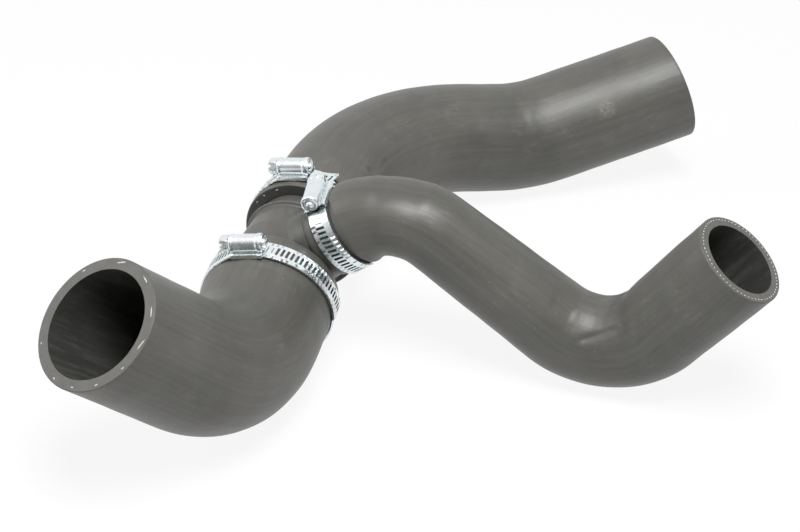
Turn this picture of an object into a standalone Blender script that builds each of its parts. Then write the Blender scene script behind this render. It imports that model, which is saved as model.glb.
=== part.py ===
"""Coolant hose set: three moulded rubber hoses on one plastic tee, each held by a worm-drive band clamp.

Lengths are in metres and +Z is up. The set lies on its two long hoses and the elbow, as it would on a bench.
"""
import math
from collections import namedtuple

import bmesh
import bpy
from mathutils import Matrix, Vector

# Clearance left between parts that touch
SEAT_GAP = 0.0003

# Tee connector
TEE_CENTRE = Vector((-0.0625, -0.0193, 0.0377))
TEE_BODY_RADIUS = 0.0233
TEE_WALL = 0.0030
TEE_COLLAR_START = 0.0140
TEE_COLLAR_LENGTH = 0.0019
TEE_COLLAR_HEIGHT = 0.0018
TEE_SHOULDER_LENGTH = 0.0020
TEE_BOSS_RADIUS = 0.0174
SPIGOT_A_DEPTH = 0.0280
SPIGOT_B_DEPTH = 0.0290
SPIGOT_C_DEPTH = 0.0136
SPIGOT_CHAMFER = 0.0010

# Hose A: short wide elbow
HOSE_A_BEND = Vector((-0.0812, -0.0984, 0.0253))
HOSE_A_MOUTH = Vector((-0.1317, -0.1392, 0.0866))
HOSE_A_CUT = Vector((-0.505, -0.421, 0.754))
HOSE_A_BEND_RADIUS = 0.0600
HOSE_A_START = 0.0158
HOSE_A_END_RADIUS = 0.0300
HOSE_A_MOUTH_RADIUS = 0.0289
HOSE_A_WALL = 0.0050

# Hose B: long wide hose with two gentle bends
HOSE_B_NEAR_BEND = Vector((-0.0253, 0.0917, 0.0394))
HOSE_B_FAR_BEND = Vector((0.0563, 0.1192, 0.0264))
HOSE_B_MOUTH = Vector((0.1339, 0.1383, 0.0487))
HOSE_B_CUT = Vector((0.903, 0.336, 0.268))
HOSE_B_NEAR_BEND_RADIUS = 0.1030
HOSE_B_FAR_BEND_RADIUS = 0.0742
HOSE_B_START = 0.0216
HOSE_B_END_RADIUS = 0.0281
HOSE_B_MOUTH_RADIUS = 0.0280
HOSE_B_WALL = 0.0048

# Hose C: narrow hose that rises, dips and rises again
HOSE_C_CREST = Vector((-0.0113, -0.0312, 0.0796))
HOSE_C_DIP = Vector((0.0893, -0.0549, 0.0075))
HOSE_C_MOUTH = Vector((0.1366, -0.0733, 0.0801))
HOSE_C_CUT = HOSE_C_MOUTH - HOSE_C_DIP
HOSE_C_CREST_RADIUS = 0.0315
HOSE_C_DIP_RADIUS = 0.0349
HOSE_C_START = 0.0264
HOSE_C_END_RADIUS = 0.0181
HOSE_C_MOUTH_RADIUS = 0.0223
HOSE_C_WALL = 0.0046

# Length moulded past each mouth and cut off along a plane; each cut is named by the way its face looks
MOUTH_OVERRUN = 0.0060
OFFCUT_DEPTH = 0.0200

# Clamp band
BAND_THICKNESS = 0.0007
SLOT_PITCH = 0.0023
SLOT_LENGTH = 0.0048
SLOT_WIDTH = 0.0011
SLOT_SLANT = math.radians(8)
TAIL_MARGIN = 0.0030
CLIMB_ANGLE = math.radians(18)
CLIMB_MARGIN = math.radians(3)

# Clamp housing and screw
HOUSING_SHEET = 0.0008
END_PLATE_INSET = 0.0003
FIXED_END_SHARE = 0.35
SCREW_RADIUS = 0.0030
SCREW_NECK_RADIUS = 0.0020
SCREW_NOSE_LENGTH = 0.0021
NOSE_CHAMFER = 0.0006
HEAD_FLATS = 0.0068
HEAD_LENGTH = 0.0048
DRIVE_SLOT_WIDTH = 0.0012
DRIVE_SLOT_DEPTH = 0.0018

# Clamp on hose A
CLAMP_A_BAND_WIDTH = 0.0090
CLAMP_A_HOUSING_LENGTH = 0.0150
CLAMP_A_SETBACK = 0.0107
CLAMP_A_SIDE = Vector((-0.242, -0.080, 0.967))
CLAMP_A_SKEW = math.radians(2.7)
CLAMP_A_ENTRY_ANGLE = math.radians(60)
CLAMP_A_TAIL_ANGLE = math.radians(96)

# Clamp on hose B
CLAMP_B_BAND_WIDTH = 0.0090
CLAMP_B_HOUSING_LENGTH = 0.0150
CLAMP_B_SETBACK = 0.0088
CLAMP_B_SIDE = Vector((-0.191, 0.052, 0.980))
CLAMP_B_ENTRY_ANGLE = math.radians(40)
CLAMP_B_TAIL_ANGLE = math.radians(48)

# Clamp on hose C
CLAMP_C_BAND_WIDTH = 0.0100
CLAMP_C_HOUSING_LENGTH = 0.0165
CLAMP_C_SETBACK = 0.0106
CLAMP_C_SIDE = Vector((-0.631, 0.015, 0.775))
CLAMP_C_ENTRY_ANGLE = math.radians(60)
CLAMP_C_TAIL_ANGLE = math.radians(130)

# Colours
RUBBER_COLOUR = (0.085, 0.082, 0.074)
RUBBER_ROUGHNESS = 0.6
PLASTIC_COLOUR = (0.050, 0.049, 0.046)
PLASTIC_ROUGHNESS = 0.5
ZINC_COLOURS = {"band": (0.70, 0.75, 0.77), "housing": (0.74, 0.79, 0.80), "screw": (0.72, 0.77, 0.79)}
ZINC_ROUGHNESS = 0.3

# Mesh fineness
BEND_STEP = math.radians(8)
HOSE_SIDES = 28
TEE_SIDES = 36
STRAIGHT_STEP = 0.030
BAND_STEP = math.radians(6)
BARREL_STEPS = 16
SCREW_SIDES = 24
WELD_DISTANCE = 0.000001
AXIS_MERGE_DISTANCE = 0.00005
SHARP_ANGLE = math.radians(35)

Hose = namedtuple("Hose", "name corners cut bend_radii start end_radius mouth_radius wall")
Clamp = namedtuple(
    "Clamp", "name hose band_width housing_length setback side entry_angle tail_angle faces_tee skew",
)

HOSE_A = Hose(
    "hose_a_elbow", [HOSE_A_BEND, HOSE_A_MOUTH], HOSE_A_CUT, [HOSE_A_BEND_RADIUS],
    HOSE_A_START, HOSE_A_END_RADIUS, HOSE_A_MOUTH_RADIUS, HOSE_A_WALL,
)
HOSE_B = Hose(
    "hose_b_long", [HOSE_B_NEAR_BEND, HOSE_B_FAR_BEND, HOSE_B_MOUTH], HOSE_B_CUT,
    [HOSE_B_NEAR_BEND_RADIUS, HOSE_B_FAR_BEND_RADIUS],
    HOSE_B_START, HOSE_B_END_RADIUS, HOSE_B_MOUTH_RADIUS, HOSE_B_WALL,
)
HOSE_C = Hose(
    "hose_c_branch", [HOSE_C_CREST, HOSE_C_DIP, HOSE_C_MOUTH], HOSE_C_CUT,
    [HOSE_C_CREST_RADIUS, HOSE_C_DIP_RADIUS],
    HOSE_C_START, HOSE_C_END_RADIUS, HOSE_C_MOUTH_RADIUS, HOSE_C_WALL,
)
CLAMPS = [
    Clamp(
        "clamp_a", HOSE_A, CLAMP_A_BAND_WIDTH, CLAMP_A_HOUSING_LENGTH, CLAMP_A_SETBACK, CLAMP_A_SIDE,
        CLAMP_A_ENTRY_ANGLE, CLAMP_A_TAIL_ANGLE, False, CLAMP_A_SKEW,
    ),
    Clamp(
        "clamp_b", HOSE_B, CLAMP_B_BAND_WIDTH, CLAMP_B_HOUSING_LENGTH, CLAMP_B_SETBACK, CLAMP_B_SIDE,
        CLAMP_B_ENTRY_ANGLE, CLAMP_B_TAIL_ANGLE, True, 0.0,
    ),
    Clamp(
        "clamp_c", HOSE_C, CLAMP_C_BAND_WIDTH, CLAMP_C_HOUSING_LENGTH, CLAMP_C_SETBACK, CLAMP_C_SIDE,
        CLAMP_C_ENTRY_ANGLE, CLAMP_C_TAIL_ANGLE, True, 0.0,
    ),
]


def clear_scene():
    for item in list(bpy.data.objects):
        bpy.data.objects.remove(item, do_unlink=True)


def new_collection(name):
    group = bpy.data.collections.new(name)
    bpy.context.scene.collection.children.link(group)
    return group


clear_scene()
PARTS = new_collection("radiator_hose")
CUTTERS = new_collection("cutters")


def principled(name, colour, roughness, metallic=0.0):
    material = bpy.data.materials.new(name)
    material.use_nodes = True
    shader = material.node_tree.nodes["Principled BSDF"]
    shader.inputs["Base Color"].default_value = (*colour, 1.0)
    shader.inputs["Roughness"].default_value = roughness
    shader.inputs["Metallic"].default_value = metallic
    return material


def add_part(name, data, material=None):
    item = bpy.data.objects.new(name, data)
    PARTS.objects.link(item)
    if material is not None:
        item.data.materials.append(material)
    return item


def add_cutter(name, data):
    item = bpy.data.objects.new(name, data)
    CUTTERS.objects.link(item)
    item.hide_render = True
    item.display_type = "WIRE"
    return item


def shade(item):
    item.data.shade_smooth()
    item.data.set_sharp_from_angle(angle=SHARP_ANGLE)


def mesh_of_curve(name, data):
    """The welded mesh of a curve, whose temporary object is removed."""
    item = bpy.data.objects.new(name + "_curve", data)
    PARTS.objects.link(item)
    bpy.context.view_layer.update()
    graph = bpy.context.evaluated_depsgraph_get()
    mesh = bpy.data.meshes.new_from_object(item.evaluated_get(graph))
    bpy.data.objects.remove(item, do_unlink=True)
    mesh.name = name
    mesh.materials.clear()
    work = bmesh.new()
    work.from_mesh(mesh)
    bmesh.ops.remove_doubles(work, verts=work.verts, dist=WELD_DISTANCE)
    work.to_mesh(mesh)
    work.free()
    return mesh


def finished_mesh(name, work):
    mesh = bpy.data.meshes.new(name)
    work.to_mesh(mesh)
    work.free()
    return mesh


def add_boolean(item, other, operation):
    modifier = item.modifiers.new(operation.title() + " " + other.name, "BOOLEAN")
    modifier.operation = operation
    modifier.object = other


def add_solidify(item, thickness, offset):
    modifier = item.modifiers.new("Thickness", "SOLIDIFY")
    modifier.thickness = thickness
    modifier.offset = offset
    modifier.use_even_offset = True


def tube_mesh(name, points, radii, sides, capped):
    """A round tube through the points, with its own radius at each of them."""
    data = bpy.data.curves.new(name, "CURVE")
    data.dimensions = "3D"
    data.bevel_depth = radii[0]
    data.bevel_resolution = (sides - 4) // 2
    data.use_fill_caps = capped
    spline = data.splines.new("POLY")
    spline.points.add(len(points) - 1)
    for knot, point, radius in zip(spline.points, points, radii):
        knot.co = (*point, 1.0)
        knot.radius = radius / radii[0]
    return mesh_of_curve(name, data)


def ribbon_mesh(name, outline, width):
    """A sheet with the flat outline as its section, as wide as given along Z."""
    data = bpy.data.curves.new(name, "CURVE")
    data.dimensions = "2D"
    data.fill_mode = "NONE"
    data.extrude = width / 2
    spline = data.splines.new("POLY")
    spline.points.add(len(outline) - 1)
    for knot, (x, y) in zip(spline.points, outline):
        knot.co = (x, y, 0.0, 1.0)
    return mesh_of_curve(name, data)


def straight_points(start, end):
    """Evenly spaced points from start to end, without start itself."""
    count = max(1, round((end - start).length / STRAIGHT_STEP))
    return [start.lerp(end, step / count) for step in range(1, count + 1)]


def bent_route(corners, bend_radii):
    """Points along straight runs joined by round bends, one bend at each inner corner."""
    route = [corners[0]]
    for before, corner, after, bend_radius in zip(corners, corners[1:], corners[2:], bend_radii):
        inward = (corner - before).normalized()
        outward = (after - corner).normalized()
        angle = inward.angle(outward)
        begin = corner - inward * bend_radius * math.tan(angle / 2)
        side = (outward - inward * math.cos(angle)).normalized()
        centre = begin + side * bend_radius
        route += straight_points(route[-1], begin)
        steps = max(2, round(angle / BEND_STEP))
        for step in range(1, steps + 1):
            turn = angle * step / steps
            route.append(centre + (inward * math.sin(turn) - side * math.cos(turn)) * bend_radius)
    return route + straight_points(route[-1], corners[-1])


def ease(share):
    """A smooth rise from 0 to 1."""
    share = min(1.0, max(0.0, share))
    return share * share * (3 - 2 * share)


def eased_radii(route, first, last):
    """Radii that ease from the first to the last along a route."""
    distances = [0.0]
    for before, after in zip(route, route[1:]):
        distances.append(distances[-1] + (after - before).length)
    return [first + (last - first) * ease(distance / distances[-1]) for distance in distances]


def arm_direction(hose):
    return (hose.corners[0] - TEE_CENTRE).normalized()


def offcut_mesh(hose):
    """The block that holds the hose's offcut, with one face on the plane of the cut at the mouth."""
    facing = hose.cut.to_track_quat("Z", "Y").to_matrix().to_4x4()
    size = Matrix.Diagonal((4 * hose.mouth_radius, 4 * hose.mouth_radius, OFFCUT_DEPTH, 1.0))
    place = Matrix.Translation(hose.corners[-1]) @ facing @ Matrix.Translation((0, 0, OFFCUT_DEPTH / 2))
    work = bmesh.new()
    bmesh.ops.create_cube(work, size=1.0, matrix=place @ size)
    return finished_mesh(hose.name + "_offcut", work)


def build_hose(hose):
    """A moulded hose: an open tube along its bent route, thickened inwards to its wall and cut off at its mouth."""
    first = TEE_CENTRE + arm_direction(hose) * hose.start
    *bends, mouth = hose.corners
    past_mouth = mouth + (mouth - bends[-1]).normalized() * MOUTH_OVERRUN
    route = bent_route([first, *bends, past_mouth], hose.bend_radii)
    radii = eased_radii(route, hose.end_radius, hose.mouth_radius)
    mesh = tube_mesh(hose.name, route, radii, HOSE_SIDES, capped=False)
    item = add_part(hose.name, mesh, principled(hose.name + " rubber", RUBBER_COLOUR, RUBBER_ROUGHNESS))
    add_solidify(item, hose.wall, offset=-1.0)
    add_boolean(item, add_cutter(hose.name + "_offcut", offcut_mesh(hose)), "DIFFERENCE")
    shade(item)


def spigot_radius(hose):
    """Outside radius of the tee's spigot that the hose pushes over."""
    return hose.end_radius - hose.wall - SEAT_GAP


def run_mesh(name, profile):
    """A bar along the tee's run; profile holds (distance from the centre, radius), hose A's side negative."""
    toward_a = arm_direction(HOSE_A)
    toward_b = arm_direction(HOSE_B)
    points = [TEE_CENTRE + (toward_b if along > 0 else -toward_a) * along for along, _ in profile]
    return tube_mesh(name, points, [radius for _, radius in profile], TEE_SIDES, capped=True)


def branch_mesh(name, length, radius):
    """A round bar from the tee's centre out along the branch."""
    end = TEE_CENTRE + arm_direction(HOSE_C) * length
    return tube_mesh(name, [TEE_CENTRE, end], [radius, radius], TEE_SIDES, capped=True)


def tee_outer_profile():
    """The run's outside: hose A's spigot, a shoulder, the body with its stop collar, hose B's spigot."""
    spigot_a = spigot_radius(HOSE_A)
    spigot_b = spigot_radius(HOSE_B)
    end_a = HOSE_A.start + SPIGOT_A_DEPTH
    end_b = HOSE_B.start + SPIGOT_B_DEPTH
    shoulder = HOSE_A.start - SEAT_GAP
    collar_end = TEE_COLLAR_START + TEE_COLLAR_LENGTH
    collar_radius = TEE_BODY_RADIUS + TEE_COLLAR_HEIGHT
    return [
        (-end_a, spigot_a - SPIGOT_CHAMFER),
        (-end_a + SPIGOT_CHAMFER, spigot_a),
        (-shoulder, spigot_a),
        (-shoulder + TEE_SHOULDER_LENGTH, TEE_BODY_RADIUS),
        (0.0, TEE_BODY_RADIUS),
        (TEE_COLLAR_START, TEE_BODY_RADIUS),
        (TEE_COLLAR_START + SEAT_GAP, collar_radius),
        (collar_end, collar_radius),
        (collar_end + SEAT_GAP, TEE_BODY_RADIUS),
        (HOSE_B.start - SEAT_GAP, TEE_BODY_RADIUS),
        (HOSE_B.start, spigot_b),
        (end_b - SPIGOT_CHAMFER, spigot_b),
        (end_b, spigot_b - SPIGOT_CHAMFER),
    ]


def tee_inner_profile():
    """The run's bore, one wall inside the spigot of hose A and the body, and past both ends."""
    spigot_bore = spigot_radius(HOSE_A) - TEE_WALL
    body_bore = TEE_BODY_RADIUS - TEE_WALL
    return [
        (-HOSE_A.start - SPIGOT_A_DEPTH - TEE_WALL, spigot_bore),
        (-HOSE_A.start - TEE_SHOULDER_LENGTH, spigot_bore),
        (-HOSE_A.start, body_bore),
        (0.0, body_bore),
        (HOSE_B.start + SPIGOT_B_DEPTH + TEE_WALL, body_bore),
    ]


def build_tee():
    """The moulded tee: a run with a slight bend and a spigot at each end, and a branch spigot on a boss."""
    plastic = principled("black plastic", PLASTIC_COLOUR, PLASTIC_ROUGHNESS)
    tee = add_part("tee_connector", run_mesh("tee_connector", tee_outer_profile()), plastic)
    branch_length = HOSE_C.start + SPIGOT_C_DEPTH
    branch_radius = spigot_radius(HOSE_C)
    bar = branch_mesh("tee_branch", branch_length, branch_radius)
    boss = branch_mesh("tee_boss", HOSE_C.start - SEAT_GAP, TEE_BOSS_RADIUS)
    bore = branch_mesh("tee_branch_bore", branch_length + TEE_WALL, branch_radius - TEE_WALL)
    add_boolean(tee, add_cutter("tee_boss", boss), "UNION")
    add_boolean(tee, add_cutter("tee_branch", bar), "UNION")
    add_boolean(tee, add_cutter("tee_run_bore", run_mesh("tee_run_bore", tee_inner_profile())), "DIFFERENCE")
    add_boolean(tee, add_cutter("tee_branch_bore", bore), "DIFFERENCE")
    shade(tee)


def clamp_frame(clamp):
    """An empty at the band's centre: Z along the hose, X through the housing, Y towards the screw's head."""
    direction = arm_direction(clamp.hose)
    centre = TEE_CENTRE + direction * (clamp.hose.start + clamp.setback)
    z_axis = -direction if clamp.faces_tee else direction
    x_axis = (clamp.side - z_axis * clamp.side.dot(z_axis)).normalized()
    turn = Matrix((x_axis, z_axis.cross(x_axis), z_axis)).transposed().to_4x4()
    frame = bpy.data.objects.new(clamp.name, None)
    PARTS.objects.link(frame)
    # the skew leans the housing along the hose
    frame.matrix_world = Matrix.Translation(centre) @ turn @ Matrix.Rotation(-clamp.skew, 4, "Y")
    return frame


def seat_radius(clamp):
    """Radius that the clamp's band closes on; a skewed band needs a little more room."""
    return clamp.hose.end_radius + clamp.band_width / 2 * math.tan(clamp.skew)


def inner_layer(clamp):
    """Middle radius of the band where it lies on the hose."""
    return seat_radius(clamp) + SEAT_GAP + BAND_THICKNESS / 2


def outer_layer(clamp):
    """Middle radius of the band where it runs over its own first stretch."""
    return inner_layer(clamp) + BAND_THICKNESS + SEAT_GAP


def screw_height(clamp):
    """Distance from the hose's axis to the screw's axis."""
    return outer_layer(clamp) + BAND_THICKNESS / 2 + SEAT_GAP + SCREW_RADIUS


def fixed_end_angle(clamp):
    """Where the band's fixed end lies, under the housing on the head's side."""
    return math.asin(FIXED_END_SHARE * clamp.housing_length / outer_layer(clamp))


def band_outline(clamp):
    """The band's middle line: from its fixed end past the screw's nose, once round, then over itself."""
    total = 2 * math.pi + 2 * fixed_end_angle(clamp) + clamp.tail_angle
    count = round(total / BAND_STEP)
    climb_start = 2 * math.pi - CLIMB_MARGIN - CLIMB_ANGLE
    outline = []
    for index in range(count + 1):
        gone = total * index / count
        rise = ease((gone - climb_start) / CLIMB_ANGLE) * (outer_layer(clamp) - inner_layer(clamp))
        radius = inner_layer(clamp) + rise
        angle = fixed_end_angle(clamp) - gone
        outline.append((radius * math.cos(angle), radius * math.sin(angle)))
    return outline


def slot_mesh(clamp):
    """One slanted bar for each slot in the band, from the entry side through the housing to the tail."""
    radius = outer_layer(clamp)
    first = fixed_end_angle(clamp) + clamp.entry_angle
    last = -fixed_end_angle(clamp) - clamp.tail_angle + TAIL_MARGIN / radius
    # over its own first stretch the band is cut from half the gap below it, so the layer under it stays whole
    bottom = radius - BAND_THICKNESS / 2 - SEAT_GAP / 2
    entry_drop = BAND_THICKNESS + 2 * SEAT_GAP
    height = 3 * BAND_THICKNESS
    work = bmesh.new()
    for index in range(int((first - last) * radius / SLOT_PITCH)):
        angle = first - (index + 0.5) * SLOT_PITCH / radius
        below = entry_drop if angle > fixed_end_angle(clamp) + CLIMB_MARGIN else 0.0
        place = Matrix.Rotation(angle, 4, "Z") @ Matrix.Translation((bottom - below + height / 2, 0, 0))
        size = Matrix.Diagonal((height, SLOT_WIDTH, SLOT_LENGTH, 1.0))
        bmesh.ops.create_cube(work, size=1.0, matrix=place @ Matrix.Rotation(-SLOT_SLANT, 4, "X") @ size)
    return finished_mesh(clamp.name + "_slots", work)


def build_band(clamp, frame, material):
    """The strip of the clamp: one turn and a tail, slotted where the screw runs."""
    name = clamp.name + "_band"
    band = add_part(name, ribbon_mesh(name, band_outline(clamp), clamp.band_width), material)
    band.matrix_world = frame.matrix_world
    add_solidify(band, BAND_THICKNESS, offset=0.0)
    slots = add_cutter(clamp.name + "_slots", slot_mesh(clamp))
    slots.matrix_world = frame.matrix_world
    add_boolean(band, slots, "DIFFERENCE")
    shade(band)
    return band


def housing_outline(clamp):
    """Middle line of the housing's sheet, as (along the hose, out from it): flange, barrel, flange."""
    half_width = clamp.band_width / 2 + SEAT_GAP + HOUSING_SHEET / 2
    foot = seat_radius(clamp) + SEAT_GAP + HOUSING_SHEET / 2
    seat = outer_layer(clamp) + BAND_THICKNESS / 2 + SEAT_GAP + HOUSING_SHEET / 2
    barrel = SCREW_RADIUS + SEAT_GAP + HOUSING_SHEET / 2
    waist = math.asin((screw_height(clamp) - seat) / barrel)
    outline = [(-half_width, foot), (-half_width, seat)]
    for step in range(BARREL_STEPS + 1):
        angle = math.pi + waist - (math.pi + 2 * waist) * step / BARREL_STEPS
        outline.append((barrel * math.cos(angle), screw_height(clamp) + barrel * math.sin(angle)))
    return outline + [(half_width, seat), (half_width, foot)]


def cross_bar(clamp, label, middle, length, radius):
    """A round cutter on the screw's axis, in the clamp's frame."""
    work = bmesh.new()
    place = Matrix.Translation((screw_height(clamp), middle, 0)) @ Matrix.Rotation(math.pi / 2, 4, "X")
    bmesh.ops.create_cone(
        work, cap_ends=True, segments=SCREW_SIDES, radius1=radius, radius2=radius, depth=length, matrix=place
    )
    name = clamp.name + "_" + label
    return add_cutter(name, finished_mesh(name, work))


def build_housing(clamp, frame, material):
    """The pressed housing: a sheet folded round the band and the screw, with a holed plate at each end."""
    name = clamp.name + "_housing"
    mesh = ribbon_mesh(name, housing_outline(clamp), clamp.housing_length)
    # the outline is drawn as (along the hose, out), and the clamp's frame has these as Z and X
    mesh.transform(Matrix(((0, 1, 0, 0), (0, 0, 1, 0), (1, 0, 0, 0), (0, 0, 0, 1))))
    housing = add_part(name, mesh, material)
    housing.matrix_world = frame.matrix_world
    add_solidify(housing, HOUSING_SHEET, offset=0.0)
    plate_radius = SCREW_RADIUS + SEAT_GAP + HOUSING_SHEET / 2
    plate_middle = clamp.housing_length / 2 - END_PLATE_INSET - HOUSING_SHEET / 2
    steps = [
        (cross_bar(clamp, "head_plate", plate_middle, HOUSING_SHEET, plate_radius), "UNION"),
        (cross_bar(clamp, "nose_plate", -plate_middle, HOUSING_SHEET, plate_radius), "UNION"),
        (cross_bar(clamp, "neck_hole", 0.0, 2 * clamp.housing_length, SCREW_NECK_RADIUS + SEAT_GAP), "DIFFERENCE"),
    ]
    for bar, operation in steps:
        bar.matrix_world = frame.matrix_world
        add_boolean(housing, bar, operation)
    shade(housing)
    return housing


def screw_profile(clamp):
    """The screw's turned outline as (radius, along), from inside the head down to the nose."""
    thread_end = clamp.housing_length / 2 - END_PLATE_INSET - HOUSING_SHEET - SEAT_GAP
    head_middle = clamp.housing_length / 2 + SEAT_GAP + HEAD_LENGTH / 2
    nose = clamp.housing_length / 2 + SCREW_NOSE_LENGTH
    return [
        (0.0, head_middle),
        (SCREW_NECK_RADIUS, head_middle),
        (SCREW_NECK_RADIUS, thread_end),
        (SCREW_RADIUS, thread_end),
        (SCREW_RADIUS, -thread_end),
        (SCREW_NECK_RADIUS, -thread_end),
        (SCREW_NECK_RADIUS, -nose + NOSE_CHAMFER),
        (SCREW_NECK_RADIUS - NOSE_CHAMFER, -nose),
        (0.0, -nose),
    ]


def build_screw(clamp, frame, material):
    """The worm screw: a turned body with a neck at each end, a hexagon head and a drive slot."""
    name = clamp.name + "_screw"
    work = bmesh.new()
    knots = [work.verts.new((radius, 0.0, along)) for radius, along in screw_profile(clamp)]
    for before, after in zip(knots, knots[1:]):
        work.edges.new((before, after))
    screw = add_part(name, finished_mesh(name, work), material)
    # the turned axis is laid along the clamp's Y
    lay = Matrix.Translation((screw_height(clamp), 0, 0)) @ Matrix.Rotation(-math.pi / 2, 4, "X")
    screw.matrix_world = frame.matrix_world @ lay
    turning = screw.modifiers.new("Turned", "SCREW")
    turning.steps = SCREW_SIDES
    turning.render_steps = SCREW_SIDES
    turning.use_merge_vertices = True
    turning.merge_threshold = AXIS_MERGE_DISTANCE
    head_start = clamp.housing_length / 2 + SEAT_GAP
    corner_radius = HEAD_FLATS / 2 / math.cos(math.pi / 6)
    work = bmesh.new()
    bmesh.ops.create_cone(
        work, cap_ends=True, segments=6, radius1=corner_radius, radius2=corner_radius,
        depth=HEAD_LENGTH, matrix=Matrix.Translation((0, 0, head_start + HEAD_LENGTH / 2)),
    )
    head = add_cutter(name + "_head", finished_mesh(name + "_head", work))
    work = bmesh.new()
    place = Matrix.Translation((0, 0, head_start + HEAD_LENGTH))
    size = Matrix.Diagonal((DRIVE_SLOT_WIDTH, 2 * HEAD_FLATS, 2 * DRIVE_SLOT_DEPTH, 1.0))
    bmesh.ops.create_cube(work, size=1.0, matrix=place @ size)
    slot = add_cutter(name + "_drive_slot", finished_mesh(name + "_drive_slot", work))
    for other, operation in ((head, "UNION"), (slot, "DIFFERENCE")):
        other.matrix_world = screw.matrix_world
        add_boolean(screw, other, operation)
    shade(screw)
    return screw


def build_clamp(clamp, metals):
    frame = clamp_frame(clamp)
    pieces = [
        build_band(clamp, frame, metals["band"]),
        build_housing(clamp, frame, metals["housing"]),
        build_screw(clamp, frame, metals["screw"]),
    ]
    for piece in pieces:
        piece.parent = frame
        piece.matrix_parent_inverse = frame.matrix_world.inverted()


for one_hose in (HOSE_A, HOSE_B, HOSE_C):
    build_hose(one_hose)
build_tee()
METALS = {
    name: principled("zinc plated " + name, colour, ZINC_ROUGHNESS, metallic=1.0)
    for name, colour in ZINC_COLOURS.items()
}
for one_clamp in CLAMPS:
    build_clamp(one_clamp, METALS)
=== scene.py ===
# A branched coolant hose set for a car: three moulded rubber hoses on one plastic tee, with three clamps.
# Lengths are in metres, +Z is up, and the set lies on a pale bench under soft studio light.
import math
import random
from collections import namedtuple

import bmesh
import bpy
import numpy as np
from mathutils import Matrix, Vector


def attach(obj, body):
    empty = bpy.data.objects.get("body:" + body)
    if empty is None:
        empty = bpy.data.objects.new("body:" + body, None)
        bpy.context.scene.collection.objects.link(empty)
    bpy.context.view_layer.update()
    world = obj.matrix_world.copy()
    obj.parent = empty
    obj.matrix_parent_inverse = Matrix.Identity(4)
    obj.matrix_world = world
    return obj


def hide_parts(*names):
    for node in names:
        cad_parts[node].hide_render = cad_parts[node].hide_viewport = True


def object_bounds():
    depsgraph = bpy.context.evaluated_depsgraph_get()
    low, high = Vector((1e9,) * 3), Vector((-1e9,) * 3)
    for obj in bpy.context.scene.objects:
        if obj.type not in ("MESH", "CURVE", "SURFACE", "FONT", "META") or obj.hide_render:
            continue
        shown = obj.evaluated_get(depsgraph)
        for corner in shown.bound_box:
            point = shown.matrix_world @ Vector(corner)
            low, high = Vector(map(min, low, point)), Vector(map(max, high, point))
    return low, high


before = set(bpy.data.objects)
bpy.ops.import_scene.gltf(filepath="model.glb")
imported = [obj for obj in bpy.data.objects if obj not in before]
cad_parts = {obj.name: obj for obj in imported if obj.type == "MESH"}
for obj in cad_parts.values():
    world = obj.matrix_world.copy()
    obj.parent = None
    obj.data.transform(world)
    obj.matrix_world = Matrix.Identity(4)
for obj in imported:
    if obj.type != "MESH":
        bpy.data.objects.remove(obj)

cad_low, cad_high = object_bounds()
view = bpy.context.scene.view_settings
view.view_transform = "Standard"


# The bench and the light. The floor is a pale matt board that keeps a faint shadow, the surround is white,
# and two large soft lamps stand over the set. None of this is part of the hoses.
FLOOR_SIZE = 6.0
FLOOR_COLOUR = (0.85, 0.85, 0.85)
FLOOR_ROUGHNESS = 0.9
FLOOR_GLOW_SHARE = 0.90
FLOOR_GLOW_FOR_LIGHT = 0.92
SURROUND_STRENGTH = 0.14
# What mirror-like surfaces see: a studio that is white at the back and above, and darker by the front lamp
FRONT_STRENGTH = 0.30
WHITE_SIDES = (
    # axis of the direction, where the white begins, where it is full
    ("Y", -0.65, -0.15),
    ("Z", 0.35, 0.65),
)
CAMERA_PLACE = Vector((-0.0216, -0.7655, 0.5420))
CAMERA_BACK = Vector((-0.0140, -0.8278, 0.5609))
CAMERA_TILT = 0.025
CAMERA_LENS = 87.1
LAMPS = [
    # name, place, size, power
    ("lamp_above", (0.05, -0.45, 1.30), 0.60, 22.0),
    ("lamp_left", (-1.20, 0.10, 0.70), 0.80, 4.0),
]


def rays_of(tree, *kinds):
    """1 for rays of any of these kinds, and 0 for the others, which carry the light itself."""
    rays = tree.nodes.new("ShaderNodeLightPath")
    total = rays.outputs[kinds[0]]
    for name in kinds[1:]:
        adder = tree.nodes.new("ShaderNodeMath")
        adder.operation = "MAXIMUM"
        tree.links.new(total, adder.inputs[0])
        tree.links.new(rays.outputs[name], adder.inputs[1])
        total = adder.outputs[0]
    return total


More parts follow.
